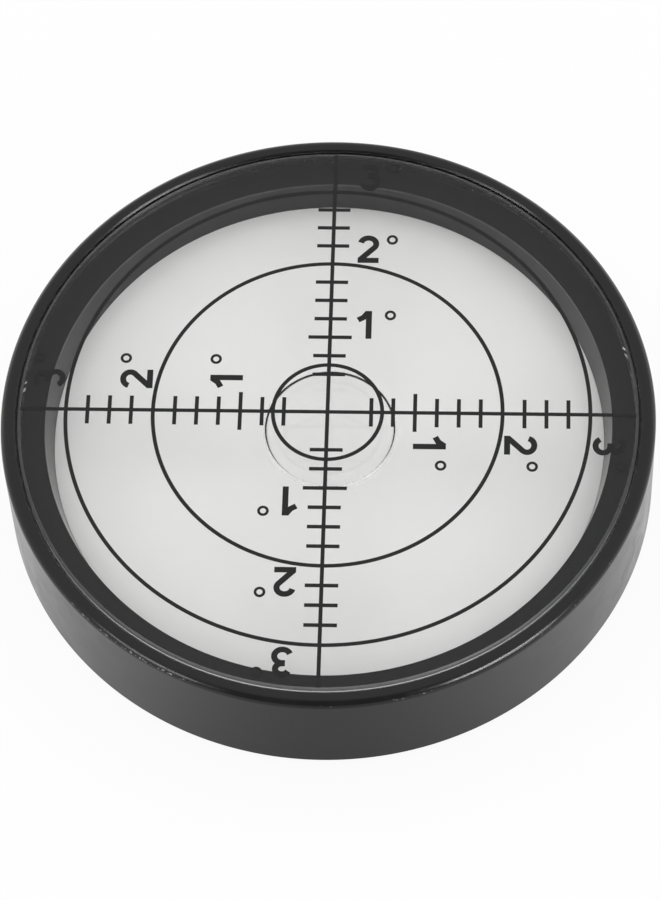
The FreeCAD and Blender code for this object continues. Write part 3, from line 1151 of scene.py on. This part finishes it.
@dataclass
class Disc:
    """The white disc under the spirit, wedged in the tapered bore."""

    stack: Stack
    edge: float = 0.03
    corner: float = 0.12
    # From the notch's mouth round to the first point of the rim, in radians
    mouth_gap: float = 0.02
    # Stamped from polystyrene sheet: an even, slightly cloudy white with a low sheen
    finish: MouldedPlastic = MouldedPlastic(
        "white_polystyrene", "#f1f1f0", "#ebebea", (0.405, 0.495), 1.55,
        cloud_size=6.0, grain_size=0.4, grain_depth=0.004)

    def outline(self, radius: float) -> np.ndarray:
        """Work out the disc's outline at one height, anticlockwise.

        The rim is (r cos a, r sin a), with a running from just past the notch
        on the near side once round to just before it. The notch goes straight
        in, and its corners are rounded.

        Args:
            radius: of the rim at that height, in millimetres.

        Returns:
            Points (x, y).
        """
        half = self.stack.notch_width / 2
        mouth = -math.sqrt(radius ** 2 - half ** 2)
        back = self.stack.notch_depth - self.stack.foot
        gap = math.asin(half / radius) + self.mouth_gap
        turn = np.linspace(gap - math.pi / 2, 1.5 * math.pi - gap, SEGMENTS)
        rim = radius * np.column_stack([np.cos(turn), np.sin(turn)])
        notch = rounded_profile([
            Corner(*rim[-1]),
            Corner(-half, mouth, self.corner),
            Corner(-half, back, self.corner),
            Corner(half, back, self.corner),
            Corner(half, mouth, self.corner),
            Corner(*rim[0]),
        ])
        return np.concatenate([rim, notch[1:-1]])

    def build(self) -> bpy.types.Object:
        """Build the disc: its outline set in by the edge round at each height.

        Returns:
            The finished piece.
        """
        s = self.stack
        inside = -1.0  # any length: it gives the two corners their flat sides
        section = rounded_profile([
            Corner(inside, s.floor),
            Corner(0.0, s.floor, self.edge),
            Corner(0.0, s.disc_top, self.edge),
            Corner(inside, s.disc_top),
        ])[1:-1]
        rows = []
        for outward, height in section:
            share = (height - s.floor) / (s.disc_top - s.floor)
            outline = self.outline(s.foot + (s.disc - s.foot) * share)
            placed = outline - side_vectors(outline, closed=True) * outward
            rows.append(np.column_stack([placed, np.full(len(placed), height)]))
        columns = len(rows[0])
        below = np.arange(columns)
        above = below + (len(rows) - 1) * columns
        shell = Shell()
        shell.add(np.stack(rows), [
            grid_faces(len(rows), columns), below[None, ::-1], above[None, :]])
        piece = shell.piece("white_disc")
        return finish_piece(piece, [self.finish.build()], "backing_disc")


@dataclass
class Rings:
    """The plain rings: gasket, bond and washer."""

    stack: Stack
    # How far gasket and bond reach into the glass, so that no gap shows
    sunk: float = 0.01
    gasket_edge: float = 0.03
    gasket_bore_edge: float = 0.05
    # The wet finish ends this far past the edge rounds of the gasket's bore
    wall_margin: float = 0.01
    bond_dish: float = 0.05
    bond_points: int = 7
    washer_edge: float = 0.06
    washer_bore_edge: float = 0.03
    # A closed profile starts on its lower flat, this far out from its bore
    gasket_start: float = 1.0
    washer_start: float = 0.5
    # Pressed nitrile rubber: a dull black that gives back hardly any light
    gasket_finish: MouldedPlastic = MouldedPlastic(
        "nitrile_rubber", "#0b0b0b", "#121212", (0.495, 0.605), 1.52,
        cloud_size=2.5, grain_size=0.5, grain_depth=0.002, gloss=0.15)
    # The same rubber where spirit wets it: smoother, and with a faint soft sheen
    wet_finish: MouldedPlastic = MouldedPlastic(
        "nitrile_rubber_in_spirit", "#101010", "#1a1a1a", (0.225, 0.275), 1.32,
        cloud_size=2.5, grain_size=0.5, grain_depth=0.002)
    # Poured epoxy resin: a glossy black that settled a little unevenly
    bond_finish: MouldedPlastic = MouldedPlastic(
        "black_epoxy_resin", "#141414", "#1b1b1b", (0.225, 0.275), 1.55,
        cloud_size=3.0, grain_size=0.6, grain_depth=0.01)
    # Nylon in its natural colour: a warm, slightly waxy white
    washer_finish: MouldedPlastic = MouldedPlastic(
        "natural_nylon", "#d9d6cc", "#cfccc2", (0.36, 0.44), 1.53,
        cloud_size=1.5, grain_size=0.15, grain_depth=0.004)

    def build_gasket(self) -> bpy.types.Object:
        """Build the rubber gasket on the ledge, pressed a hair into the glass.

        Returns:
            The finished piece.
        """
        s = self.stack
        low, high = s.ledge, s.lens_seat + self.sunk
        profile = rounded_profile([
            Corner(s.bore + self.gasket_start, low),
            Corner(s.recess, low, self.gasket_edge),
            Corner(s.recess, high, self.gasket_edge),
            Corner(s.bore, high, self.gasket_bore_edge),
            Corner(s.bore, low, self.gasket_bore_edge),
            Corner(s.bore + self.gasket_start, low),
        ])[:-1]
        middle = (profile[:, 0] + np.roll(profile[:, 0], -1)) / 2
        inner_wall = middle < s.bore + self.gasket_bore_edge + self.wall_margin
        shell = Shell()
        add_lathe(shell, profile, inner_wall.astype(int))
        materials = [self.gasket_finish.build(), self.wet_finish.build()]
        return finish_piece(shell.piece("gasket"), materials, "lens_gasket")

    def build_bond(self) -> bpy.types.Object:
        """Build the resin ring round the lens, dished where it met the air.

        Its top is t(w) = top - dish sin(pi w), with w running from 1 at the
        recess to 0 at the glass.

        Returns:
            The finished piece.
        """
        s = self.stack
        inside = s.lens - self.sunk
        across = np.linspace(s.recess, inside, self.bond_points)
        swing = (across - inside) / (s.recess - inside)
        height = s.bond_top - self.bond_dish * np.sin(math.pi * swing)
        foot = [[inside, s.lens_seat], [s.recess, s.lens_seat]]
        shell = Shell()
        add_lathe(shell, np.concatenate([foot, np.column_stack([across, height])]))
        piece = shell.piece("resin_bead")
        return finish_piece(piece, [self.bond_finish.build()], "lens_bond")

    def build_washer(self) -> bpy.types.Object:
        """Build the washer under the filling screw's head.

        Returns:
            The finished piece.
        """
        s = self.stack
        low, high = s.washer_low, s.washer_high
        profile = rounded_profile([
            Corner(s.screw_hole + self.washer_start, low),
            Corner(s.washer, low, self.washer_edge),
            Corner(s.washer, high, self.washer_edge),
            Corner(s.screw_hole, high, self.washer_bore_edge),
            Corner(s.screw_hole, low, self.washer_bore_edge),
            Corner(s.screw_hole + self.washer_start, low),
        ])[:-1]
        shell = Shell()
        add_lathe(shell, profile, segments=SMALL_SEGMENTS, middle=(0.0, s.screw_y))
        piece = shell.piece("nylon_washer")
        return finish_piece(piece, [self.washer_finish.build()], "fill_washer")


@dataclass
class FillScrew:
    """The slotted filling screw, head down."""

    stack: Stack
    shank: float = 1.45
    head: float = 1.0
    slot_width: float = 0.8
    slot_depth: float = 0.5
    slot_break: float = 0.06
    sunk: float = 0.02
    floor_edge: float = 0.02
    shoulder_edge: float = 0.1
    shank_edge: float = 0.05
    point_chamfer: float = 0.2
    columns: int = 48
    # The domed face: height over its middle, and how far the rim is set in there
    dome: tuple[tuple[float, float], ...] = (
        (0.2, 0.0), (0.08, 0.04), (0.02, 0.12), (0.0, 0.22), (0.0, 0.4))
    finish: PlatedSteel = PlatedSteel()

    def build(self) -> bpy.types.Object:
        """Build the head as two half rounds with the slot between, and the shank.

        A row of each half is an arc of the head cut off by the slot's wall:
        (R cos t, max(R sin t, half the slot)), where R is the head's radius
        less what the rim is set in at that height.

        Returns:
            The finished piece.
        """
        s = self.stack
        low = s.screw_low
        floor = low + self.slot_depth
        profile = rounded_profile([
            Corner(0.0, floor),
            Corner(s.screw_head, floor, self.floor_edge),
            Corner(s.screw_head, low + self.head, self.shoulder_edge),
            Corner(self.shank, low + self.head, self.shank_edge),
            Corner(self.shank, s.screw_high - self.point_chamfer, self.shank_edge),
            Corner(self.shank - self.point_chamfer, s.screw_high, self.shank_edge),
            Corner(0.0, s.screw_high),
        ])
        shell = Shell()
        add_lathe(shell, profile, segments=SMALL_SEGMENTS, middle=(0.0, s.screw_y))
        half = self.slot_width / 2
        start = math.asin(half / s.screw_head)
        turn = np.linspace(start, math.pi - start, self.columns)
        levels = [(floor + self.sunk, 0.0),
                  *((low + up, inward) for up, inward in self.dome)]
        below = np.arange(self.columns)
        above = below + (len(levels) - 1) * self.columns
        faces = [grid_faces(len(levels), self.columns), above[None, :], below[None, ::-1]]
        for side in (1, -1):
            rows = []
            for height, inward in levels:
                radius = s.screw_head - inward
                edge = half + min(inward, self.slot_break)
                y = side * np.maximum(radius * np.sin(turn), edge) + s.screw_y
                level = np.full(self.columns, height)
                rows.append(np.column_stack([radius * np.cos(turn), y, level]))
            # The further half is a mirror image, so its faces are turned over
            shell.add(np.stack(rows), [block[:, ::-side] for block in faces])
        piece = shell.piece("slotted_screw")
        material = self.finish.build((0.0, s.screw_y))
        return finish_piece(piece, [material], "fill_screw")


class Layer(IntEnum):
    """Bars of the print from the top down, so that none shares a top it crosses."""

    RINGS = 0
    CROSS_ASIDE = 1
    CROSS_AWAY = 2
    TICKS = 3
    NUMBERS = 4
    SECOND_STROKES = 5


def ellipse_arc(centre: tuple[float, float], radii: tuple[float, float], start: float,
                stop: float, count: int = 20) -> np.ndarray:
    """Work out an arc of an ellipse.

    Its points are centre + (a cos t, b sin t).

    Args:
        centre: (x, y).
        radii: (a, b).
        start: first t in degrees.
        stop: last t in degrees.
        count: of points.

    Returns:
        Points (x, y).
    """
    t = np.radians(np.linspace(start, stop, count))
    return np.column_stack([centre[0] + radii[0] * np.cos(t),
                            centre[1] + radii[1] * np.sin(t)])


@dataclass
class DialPrint:
    """The rings, the cross, its ticks and the numbers, in black screen ink."""

    stack: Stack
    line: float = 0.36
    # Radius of the ring round the bubble, and from one degree's ring to the next
    centre_ring: float = 5.0
    degree_pitch: float = 8.0
    ringed_degrees: tuple[int, ...] = (2, 3)
    degrees: int = 3
    divisions: int = 4
    tick: float = 3.0
    degree_tick: float = 4.0
    first_tick: int = 2
    # How far the ink reaches into the glass, and each layer's top under the last
    sunk: float = 0.004
    step_down: float = 0.0015
    # A number's baseline starts here from the arm, and so far past its degree
    digit_left: float = 2.3
    digit_rise: tuple[float, float, float] = (-0.12, 0.18, 0.2)
    digit_stroke: float = 0.55
    # The degree sign, from where the number's baseline starts
    degree_centre: tuple[float, float] = (3.22, 2.55)
    degree_radius: float = 0.40
    degree_stroke: float = 0.25
    # The small signs take one in so many of the circle's points
    degree_thinning: int = 8
    # Screen ink: a flat black whose thin film is only a little glossy on the glass
    finish: MouldedPlastic = MouldedPlastic(
        "black_screen_ink", "#141414", "#1c1c1c", (0.45, 0.55), 1.5,
        cloud_size=1.2, grain_size=0.1, grain_depth=0.001, gloss=0.37)

    def add_bar(self, shell: Shell, path: np.ndarray, width: float, layer: Layer,
                closed: bool = False) -> None:
        """Add one bar of ink, from a hair inside the glass to its layer's top.

        Args:
            shell: where the bar goes.
            path: points (x, y) of its centre line.
            width: of the bar.
            layer: which lies a step lower than the one before it.
            closed: True where the path's end joins its start.
        """
        low = self.stack.print_low - self.sunk
        top = self.stack.print_high - self.step_down * layer
        add_ribbon(shell, path, width, low, top, closed)

    def digit(self, number: int) -> list[np.ndarray]:
        """Draw the centre lines of a plain bold digit, 3 mm high.

        They are straight lines and elliptic arcs, in millimetres from the left
        end of the digit's baseline.

        Args:
            number: 1, 2 or 3.

        Returns:
            One or two paths of points (x, y).
        """
        if number == 1:
            return [np.array([[1.24, 0.0], [1.24, 3.0]]),
                    np.array([[0.24, 2.02], [0.74, 2.30], [1.16, 2.86]])]
        if number == 2:
            bowl = ellipse_arc((1.0, 2.08), (0.72, 0.65), 168, -38)
            return [np.concatenate([bowl, [[0.26, 0.36]]]),
                    np.array([[0.02, 0.26], [1.98, 0.26]])]
        upper = ellipse_arc((0.96, 2.20), (0.60, 0.53), 155, -82)
        lower = ellipse_arc((0.96, 0.94), (0.72, 0.67), 82, -158)
        return [np.concatenate([upper, [[0.70, 1.66]]]),
                np.concatenate([[[0.70, 1.62]], lower])]

    def add_ticks(self, shell: Shell, spin: np.ndarray) -> None:
        """Add one arm's ticks, one at each division that no ring crosses.

        Args:
            shell: where the ticks go.
            spin: turns the arm that points along +Y to its place.
        """
        for number in range(self.first_tick, self.divisions * self.degrees):
            degree, past_degree = divmod(number, self.divisions)
            if degree in self.ringed_degrees and not past_degree:
                continue
            half = (self.tick if past_degree else self.degree_tick) / 2
            y = number * self.degree_pitch / self.divisions
            bar = np.array([[-half, y], [half, y]])
            self.add_bar(shell, bar @ spin, self.line, Layer.TICKS)

    def add_numbers(self, shell: Shell, spin: np.ndarray, circle: np.ndarray) -> None:
        """Add one arm's numbers with their degree signs.

        Args:
            shell: where the numbers go.
            spin: turns the arm that points along +Y to its place.
            circle: points of a circle of radius 1.
        """
        for degree, rise in enumerate(self.digit_rise, start=1):
            origin = np.array([self.digit_left, degree * self.degree_pitch + rise])
            for layer, stroke in enumerate(self.digit(degree), start=Layer.NUMBERS):
                self.add_bar(shell, (stroke + origin) @ spin, self.digit_stroke, layer)
            small = circle[::self.degree_thinning] * self.degree_radius
            ring = (small + self.degree_centre + origin) @ spin
            self.add_bar(shell, ring, self.degree_stroke, Layer.NUMBERS, closed=True)

    def build(self) -> bpy.types.Object:
        """Build all the print as one piece of flat bars on the glass.

        Returns:
            The finished piece.
        """
        shell = Shell()
        turn = 2 * math.pi * np.arange(SEGMENTS) / SEGMENTS
        circle = np.column_stack([np.cos(turn), np.sin(turn)])
        rings = [degree * self.degree_pitch for degree in self.ringed_degrees]
        for radius in (self.centre_ring, *rings):
            self.add_bar(shell, circle * radius, self.line, Layer.RINGS, closed=True)
        across = np.array([[-self.stack.dial_reach, 0.0], [self.stack.dial_reach, 0.0]])
        self.add_bar(shell, across, self.line, Layer.CROSS_ASIDE)
        self.add_bar(shell, across[:, ::-1], self.line, Layer.CROSS_AWAY)
        for arm in range(4):
            angle = -arm * math.pi / 2
            spin = np.array([[math.cos(angle), math.sin(angle)],
                             [-math.sin(angle), math.cos(angle)]])
            self.add_ticks(shell, spin)
            self.add_numbers(shell, spin, circle)
        piece = shell.piece("printed_dial")
        flat = np.zeros(len(piece.data.polygons), dtype=bool)
        piece.data.polygons.foreach_set("use_smooth", flat)
        return finish_piece(piece, [self.finish.build()], "dial_print")


# ------------------------------------------------------------------ studio


@dataclass(frozen=True)
class Softbox:
    """A flat studio lamp aimed at the level, with its lengths in metres.

    Neither the camera nor a ray that has gone through glass sees it. Its light
    can be kept from matt finishes, or its picture from glossy ones.
    """

    name: str
    azimuth: float
    elevation: float
    distance: float
    width: float
    height: float
    watts: float
    lights_matt: bool = True
    shows_in_gloss: bool = True

    def build(self) -> bpy.types.Object:
        """Place the lamp, with its azimuth counted from +X towards +Y.

        Returns:
            The lamp.
        """
        light = bpy.data.lights.new(self.name, "AREA")
        light.shape = "RECTANGLE"
        light.size = self.width
        light.size_y = self.height
        light.energy = self.watts
        lamp = bpy.data.objects.new(self.name, light)
        bpy.context.scene.collection.objects.link(lamp)
        around, over = math.radians(self.azimuth), math.radians(self.elevation)
        away = Vector((math.cos(around) * math.cos(over),
                       math.sin(around) * math.cos(over), math.sin(over)))
        lamp.visible_camera = False
        lamp.visible_transmission = False
        lamp.visible_diffuse = self.lights_matt
        lamp.visible_glossy = self.shows_in_gloss
        lamp.location = away * self.distance
        lamp.rotation_euler = away.to_track_quat("Z", "Y").to_euler()
        return lamp


@dataclass
class Studio:
    """Pale floor, white surround, soft lamps and the camera."""

    target_height: float
    elevation: float = 60.0
    azimuth: float = 4.5
    roll: float = -3.24
    distance: float = 397.0
    focal_pixels: float = 4342.0
    slide: tuple[float, float] = (0.23, -3.48)
    # The picture is upright, so its height is what the sensor's length covers
    frame_height: int = 900
    sensor: float = 36.0
    near_clip: float = 10.0
    floor_size: float = 3000.0
    floor_colour: str = "#f4f4f4"
    # What matt faces get of the surround, and what polished faces see of it
    ambient: float = 1.05
    surround: float = 0.84
    # Polished faces see it dim round this elevation in front, from the first to
    # the second cosine of the angle to that place
    dim_surround: float = 0.25
    dim_elevation: float = 30.0
    dim_begins: float = 0.64
    dimmest: float = 0.97
    # How much of the floor's look is its own glow, to the camera and in a gloss
    camera_share: float = 0.93
    mirror_share: float = 0.75
    # Painted shade: a gloss sees the floor's glow dimmer through the middle, front to
    # back, and brighter from this far out to each side
    painted_shade_glow: float = 0.43
    side_glow: float = 0.95
    glow_reach: float = 38.0
    lamps: tuple[Softbox, ...] = (
        Softbox("right_front_softbox", -41, 26, 0.7, 0.34, 0.07, 1.6, lights_matt=False),
        Softbox("left_front_softbox", -139, 25, 0.7, 0.30, 0.07, 0.6, lights_matt=False),
        Softbox("top_left_softbox", 150, 60, 0.9, 0.5, 0.5, 1.0, shows_in_gloss=False),
        Softbox("top_right_softbox", 30, 60, 0.9, 0.5, 0.5, 1.0, shows_in_gloss=False),
    )

    def build_camera(self) -> bpy.types.Object:
        """Set up the camera that took the view.

        It looks at the middle of the dial from the given azimuth (counted
        from the near side towards the right) and elevation, rolled about its
        line of sight and slid by a few millimetres along its own axes.

        Returns:
            The camera.
        """
        around, over = math.radians(self.azimuth), math.radians(self.elevation)
        roll = math.radians(self.roll)
        back = Vector((math.sin(around) * math.cos(over),
                       -math.cos(around) * math.cos(over), math.sin(over)))
        right = Vector((0, 0, 1)).cross(back).normalized()
        up = back.cross(right)
        rolled_right = right * math.cos(roll) + up * math.sin(roll)
        rolled_up = up * math.cos(roll) - right * math.sin(roll)
        aside, upward = self.slide
        place = back * self.distance + rolled_right * aside + rolled_up * upward
        place.z += self.target_height
        data = bpy.data.cameras.new("camera")
        data.sensor_width = self.sensor
        data.lens = self.focal_pixels * self.sensor / self.frame_height
        data.clip_start = self.near_clip * MM
        camera = bpy.data.objects.new("camera", data)
        bpy.context.scene.collection.objects.link(camera)
        turn = Matrix((rolled_right, rolled_up, back)).transposed().to_4x4()
        camera.matrix_world = Matrix.Translation(place * MM) @ turn
        bpy.context.scene.camera = camera
        return camera

    def build_floor(self) -> bpy.types.Object:
        """Lay matt background paper, glowing white, with a soft share of real shade and
        painted shade in a gloss.

        Returns:
            The floor.
        """
        half = self.floor_size / 2
        corners = np.array([[-half, -half, 0], [half, -half, 0],
                            [half, half, 0], [-half, half, 0]])
        shell = Shell()
        shell.add(corners, [np.array([[0, 1, 2, 3]])])
        floor = shell.piece("floor")
        material, tree, output = empty_material("white_paper_floor")
        matt = add_node(tree, "ShaderNodeBsdfDiffuse", inputs={
            "Color": linear(self.floor_colour)})
        path = add_node(tree, "ShaderNodeLightPath")
        place = object_millimetres(tree)
        split = add_node(tree, "ShaderNodeSeparateXYZ", inputs={0: place})
        aside = add_node(tree, "ShaderNodeMath", {"operation": "ABSOLUTE"},
                         {0: split.outputs["X"]})
        # Painted shade in the glow that a gloss sees: dimmer near the line through the
        # middle
        painted_shade = add_node(tree, "ShaderNodeMapRange",
                           {"interpolation_type": "SMOOTHSTEP"},
                           {"Value": aside.outputs[0], "From Min": 0.0,
                            "From Max": self.glow_reach, "To Min": self.painted_shade_glow,
                            "To Max": self.side_glow})
        strength = add_node(tree, "ShaderNodeMath", {"operation": "MAXIMUM"},
                            {0: painted_shade.outputs[0], 1: path.outputs["Is Camera Ray"]})
        glow = add_node(tree, "ShaderNodeEmission",
                        inputs={"Strength": strength.outputs[0]})
        sharp = add_node(tree, "ShaderNodeMath", {"operation": "MAXIMUM"},
                         {0: path.outputs["Is Glossy Ray"],
                          1: path.outputs["Is Transmission Ray"]})
        mirrored = add_node(tree, "ShaderNodeMath", {"operation": "MULTIPLY"},
                            {0: sharp.outputs[0], 1: self.mirror_share})
        seen = add_node(tree, "ShaderNodeMath",
                        {"operation": "MULTIPLY_ADD", "use_clamp": True},
                        {0: path.outputs["Is Camera Ray"], 1: self.camera_share,
                         2: mirrored.outputs[0]})
        mix = add_node(tree, "ShaderNodeMixShader", inputs={
            0: seen.outputs[0], 1: matt.outputs[0], 2: glow.outputs[0]})
        tree.links.new(mix.outputs[0], output.inputs["Surface"])
        floor.data.materials.append(material)
        return floor

    def build_world(self) -> None:
        """Make the surround white to the camera and soft to everything else.

        Polished faces see it dimmer low in front, where a studio has its
        camera and no lamp: the strength falls as the cosine of the angle
        between the ray and that place rises.
        """
        world = bpy.data.worlds.new("studio")
        world.use_nodes = True
        tree = world.node_tree
        tree.nodes.clear()
        output = tree.nodes.new("ShaderNodeOutputWorld")
        path = add_node(tree, "ShaderNodeLightPath")
        sky = add_node(tree, "ShaderNodeTexCoord")
        over = math.radians(self.dim_elevation)
        toward = add_node(tree, "ShaderNodeVectorMath", {"operation": "DOT_PRODUCT"},
                          {0: sky.outputs["Generated"],
                           1: (0, -math.cos(over), math.sin(over))})
        level = add_node(tree, "ShaderNodeMapRange",
                         {"interpolation_type": "SMOOTHSTEP"},
                         {"Value": toward.outputs["Value"], "From Min": self.dim_begins,
                          "From Max": self.dimmest, "To Min": self.surround,
                          "To Max": self.dim_surround})
        sharp = add_node(tree, "ShaderNodeMath", {"operation": "MAXIMUM"},
                         {0: path.outputs["Is Glossy Ray"],
                          1: path.outputs["Is Transmission Ray"]})
        even = add_node(tree, "ShaderNodeBackground", inputs={"Strength": self.ambient})
        mirror = add_node(tree, "ShaderNodeBackground", inputs={
            "Strength": level.outputs[0]})
        white = add_node(tree, "ShaderNodeBackground", inputs={"Strength": 1.0})
        first = add_node(tree, "ShaderNodeMixShader", inputs={
            0: sharp.outputs[0], 1: even.outputs[0], 2: mirror.outputs[0]})
        second = add_node(tree, "ShaderNodeMixShader", inputs={
            0: path.outputs["Is Camera Ray"], 1: first.outputs[0], 2: white.outputs[0]})
        tree.links.new(second.outputs[0], output.inputs["Surface"])
        bpy.context.scene.world = world

    def build(self) -> None:
        """Set up floor, surround, lamps, camera and the view transform."""
        self.build_floor()
        self.build_world()
        for lamp in self.lamps:
            lamp.build()
        self.build_camera()
        bpy.context.scene.view_settings.view_transform = "Standard"


def main() -> None:
    """Dress the level piece by piece and set up the studio."""
    logging.basicConfig(level=logging.INFO, format="%(name)s: %(message)s")
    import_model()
    stack = Stack.from_frame()
    Housing(stack).build()
    lens = Lens(stack)
    lens.build_glass()
    lens.build_spirit()
    Disc(stack).build()
    rings = Rings(stack)
    rings.build_gasket()
    rings.build_bond()
    rings.build_washer()
    FillScrew(stack).build()
    DialPrint(stack).build()
    Studio(stack.lens_top).build()


if __name__ == "__main__":
    main()
